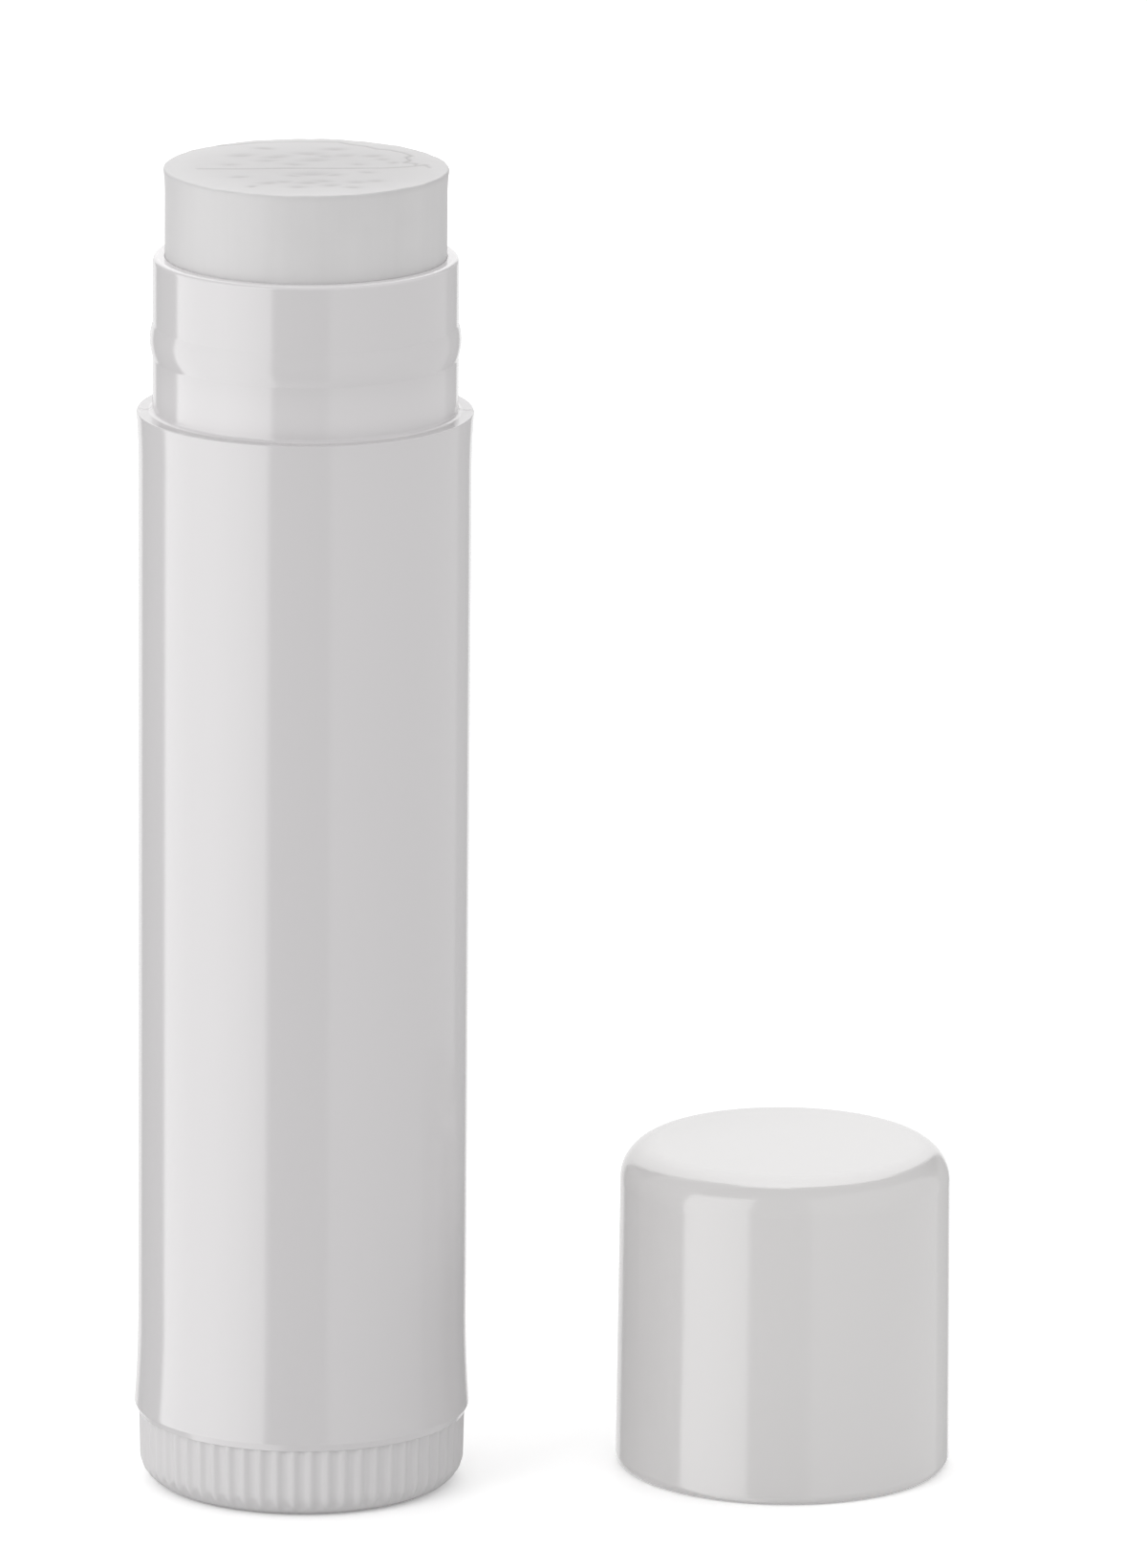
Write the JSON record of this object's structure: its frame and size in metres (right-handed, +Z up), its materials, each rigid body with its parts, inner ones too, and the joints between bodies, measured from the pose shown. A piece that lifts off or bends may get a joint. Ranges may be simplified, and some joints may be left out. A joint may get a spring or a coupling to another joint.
{
  "type": "lip balm stick",
  "caption": "Plain white twist-up lip balm stick: round tube on a ribbed thumb wheel, balm turned up above the neck, cap standing beside it.",
  "frame": {"origin": "on the tube's axis, at the flat underside of the thumb wheel, which is the surface the stick stands on", "axes": "+Z up along the tube's axis towards the balm; +X towards the cap, which stands beside the tube"},
  "size_m": [0.04, 0.0191, 0.0653],
  "materials": {
    "barrel_plastic": "glossy white moulded plastic",
    "cap_plastic": "glossy white moulded plastic",
    "wheel_plastic": "satin white moulded plastic",
    "spindle_plastic": "satin white moulded plastic",
    "cup_plastic": "satin white moulded plastic",
    "balm_wax": "waxy, slightly uneven white balm"
  },
  "bodies": {
    "barrel": {"barrel": "barrel_plastic"},
    "wheel": {"thumb_wheel": "wheel_plastic", "spindle": "spindle_plastic"},
    "carrier": {"elevator_cup": "cup_plastic", "balm": "balm_wax"},
    "cap": {"cap": "cap_plastic"}
  },
  "joints": [
    {"name": "wheel_turn", "type": "hinge", "parent": "barrel", "child": "wheel", "pos_m": [0, 0, 0], "axis": [0, 0, 1], "range_deg": [-468.1, 3051.1]},
    {"name": "balm_raise", "type": "slide", "parent": "barrel", "child": "carrier", "axis": [0, 0, 1], "range_m": [-0.0052, 0.0339]},
    {"name": "cap_lift", "type": "slide", "parent": "barrel", "child": "cap", "axis": [0, 0, 1], "range_m": [0, 0.07]}
  ],
  "couplings": [
    {"joint": "wheel_turn", "follows": "balm_raise", "rad_per_m": 1570.8}
  ]
}
